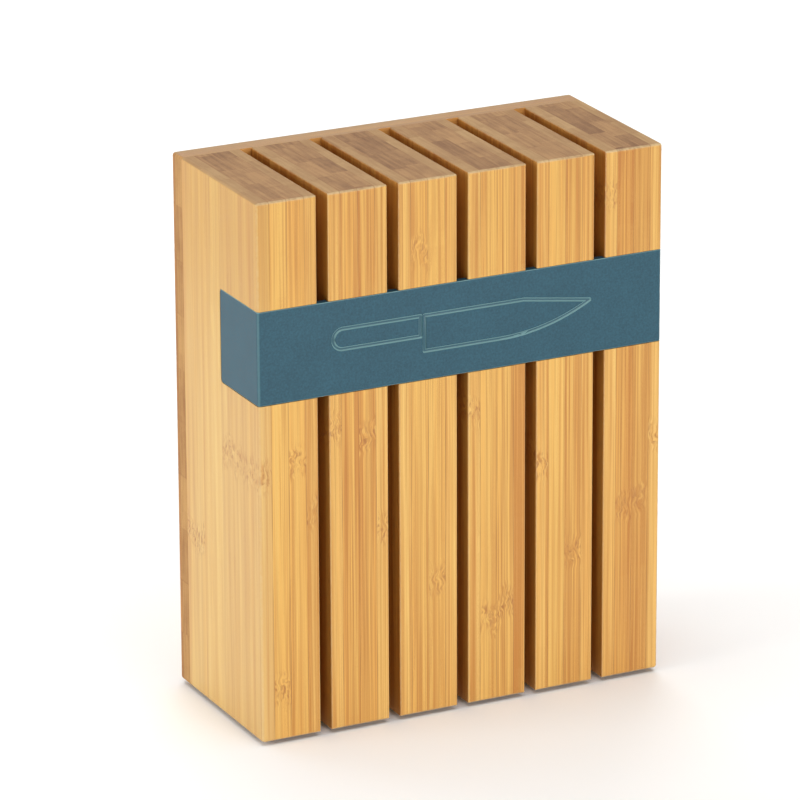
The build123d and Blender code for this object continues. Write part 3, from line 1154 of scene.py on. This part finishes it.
@dataclass
class Studio:
    """Pale floor, soft lights and the camera."""

    azimuth: float = math.radians(-26.325)
    elevation: float = math.radians(19.237)
    roll: float = math.radians(-0.259)
    distance: float = 2268.4 * MM
    lens: float = 265.83
    aim: tuple[float, float, float] = (-4.83 * MM, 6.19 * MM, 112.84 * MM)
    floor_side: float = 12.0
    sky: float = 0.1
    boxes: tuple[SoftBox, ...] = (
        SoftBox("key", math.radians(9), math.radians(10), 2.6, 1.15, 43.6, (0.03, 0.0, 0.02)),
        SoftBox("left", math.radians(-92), math.radians(17), 1.5, 0.8, 10.4, (0.0, 0.0, 0.03)),
        SoftBox("rear_left", math.radians(-152), math.radians(14), 2.0, 1.0, 9.0, (0.0, 0.0, 0.1)),
        SoftBox("overhead", 0.0, math.radians(84), 2.2, 2.6, 41.5),
        SoftBox("backdrop", math.radians(154), math.radians(75), 1.6, 1.6, 30.0, (0.5, 1.6, 0.0)),
    )

    def build(self) -> None:
        """Makes the camera, the lights, the sky and the floor."""
        self._camera()
        self._sky()
        self._floor()
        for box in self.boxes:
            box.build()

    def _camera(self) -> None:
        """Places the camera."""
        azimuth, elevation, roll = self.azimuth, self.elevation, self.roll
        back = Vector((math.sin(azimuth) * math.cos(elevation), -math.cos(azimuth) * math.cos(elevation),
                       math.sin(elevation)))
        right = Vector((math.cos(azimuth), math.sin(azimuth), 0.0))
        up = back.cross(right)
        turned_right = right * math.cos(roll) + up * math.sin(roll)
        turned_up = up * math.cos(roll) - right * math.sin(roll)
        data = bpy.data.cameras.new("camera")
        data.lens = self.lens
        data.sensor_width = 36.0
        data.clip_start = 0.05
        data.clip_end = 50.0
        camera = bpy.data.objects.new("camera", data)
        turn = Matrix((turned_right, turned_up, back)).transposed().to_4x4()
        camera.matrix_world = Matrix.Translation(Vector(self.aim) + back * self.distance) @ turn
        bpy.context.scene.collection.objects.link(camera)
        bpy.context.scene.camera = camera

    def _sky(self) -> None:
        """Lights the room evenly from all round."""
        scene = bpy.context.scene
        scene.view_settings.view_transform = "Standard"
        world = bpy.data.worlds.new("white_room")
        world.use_nodes = True
        tree = world.node_tree
        tree.nodes.clear()
        add = partial(add_node, tree)
        glow = add("ShaderNodeBackground", {"Color": (1.0, 1.0, 1.0, 1.0), "Strength": self.sky})
        add("ShaderNodeOutputWorld", {"Surface": glow})
        scene.world = world

    def _floor(self) -> None:
        """Lays the floor that the block stands on."""
        shape = bmesh.new()
        bmesh.ops.create_grid(shape, x_segments=1, y_segments=1, size=self.floor_side / 2)
        mesh = plain_mesh("floor", shape)
        floor = link_object("floor", mesh)
        material, tree = new_material("pale_paper")
        add = partial(add_node, tree)
        shader = add("ShaderNodeBsdfPrincipled",
                     {"Base Color": "FCFCFB", "Roughness": 0.9, "Specular IOR Level": 0.1})
        add("ShaderNodeOutputMaterial", {"Surface": shader})
        mesh.materials.append(material)


def main() -> None:
    """Builds the block's looks around the frame."""
    logging.basicConfig(level=logging.INFO, format="%(name)s: %(message)s")
    skin = PieceSkin(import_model())
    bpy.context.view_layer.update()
    Studio().build()
    LaminatedBars().build(skin)
    BackBoard().build(skin)
    FrontBand().build(skin)
    ScrewSet().build()
    Feet().build()


if __name__ == "__main__":
    main()
